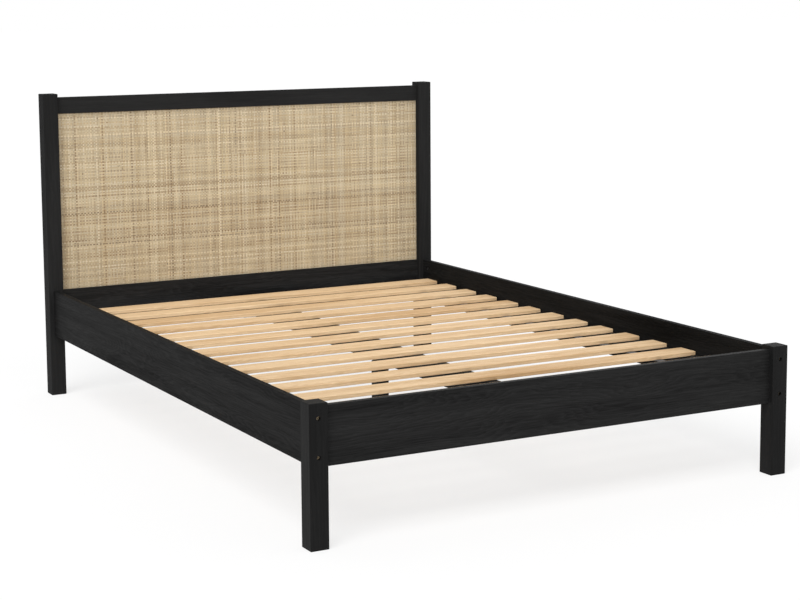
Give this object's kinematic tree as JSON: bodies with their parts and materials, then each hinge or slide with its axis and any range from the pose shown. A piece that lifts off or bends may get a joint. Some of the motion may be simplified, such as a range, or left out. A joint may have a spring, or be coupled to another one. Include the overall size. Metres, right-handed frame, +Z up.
{
  "type": "bed frame",
  "caption": "Double bed frame on square posts, with a rattan-panelled headboard, deep side rails, a slatted base and a centre rail on a leg.",
  "frame": {"origin": "on the floor, under the middle of the bed", "axes": "+X to the right of somebody looking from the foot to the head, +Y from the foot to the headboard, +Z up"},
  "size_m": [1.45, 2.03, 1],
  "materials": {
    "black_frame": "black stained, satin lacquer over open grain",
    "black_bearers": "black stained, unlacquered",
    "rattan": "natural rattan, plain weave",
    "backing": "dark painted plywood",
    "slat_pine": "planed pine, unfinished",
    "yellow_bolt": "yellow passivated zinc on steel",
    "zinc_nut": "bright zinc",
    "webbing": "woven polyester tape",
    "zinc_stud": "bright zinc",
    "beech_dowel": "plain beech"
  },
  "bodies": {
    "root": {"centre_leg": "black_bearers", "centre_rail": "black_bearers", "centre_rail_cup_foot": "black_bearers", "centre_rail_cup_head": "black_bearers", "foot_barrel_nuts": "zinc_nut", "foot_bolts": "yellow_bolt", "foot_dowels": "beech_dowel", "foot_post_left": "black_frame", "foot_post_right": "black_frame", "foot_rail": "black_frame", "head_barrel_nuts": "zinc_nut", "head_bolts": "yellow_bolt", "head_dowels": "beech_dowel", "head_post_left": "black_frame", "head_post_right": "black_frame", "head_rail": "black_frame", "headboard_top_rail": "black_frame", "leg_stud": "zinc_stud", "panel_backing_board": "backing", "rattan_panel": "rattan", "side_rail_left": "black_frame", "side_rail_right": "black_frame", "slat_01": "slat_pine", "slat_02": "slat_pine", "slat_03": "slat_pine", "slat_04": "slat_pine", "slat_05": "slat_pine", "slat_06": "slat_pine", "slat_07": "slat_pine", "slat_08": "slat_pine", "slat_09": "slat_pine", "slat_10": "slat_pine", "slat_11": "slat_pine", "slat_12": "slat_pine", "slat_13": "slat_pine", "slat_14": "slat_pine", "slat_cleat_left": "black_bearers", "slat_cleat_right": "black_bearers", "webbing_left": "webbing", "webbing_right": "webbing"}
  },
  "joints": []
}
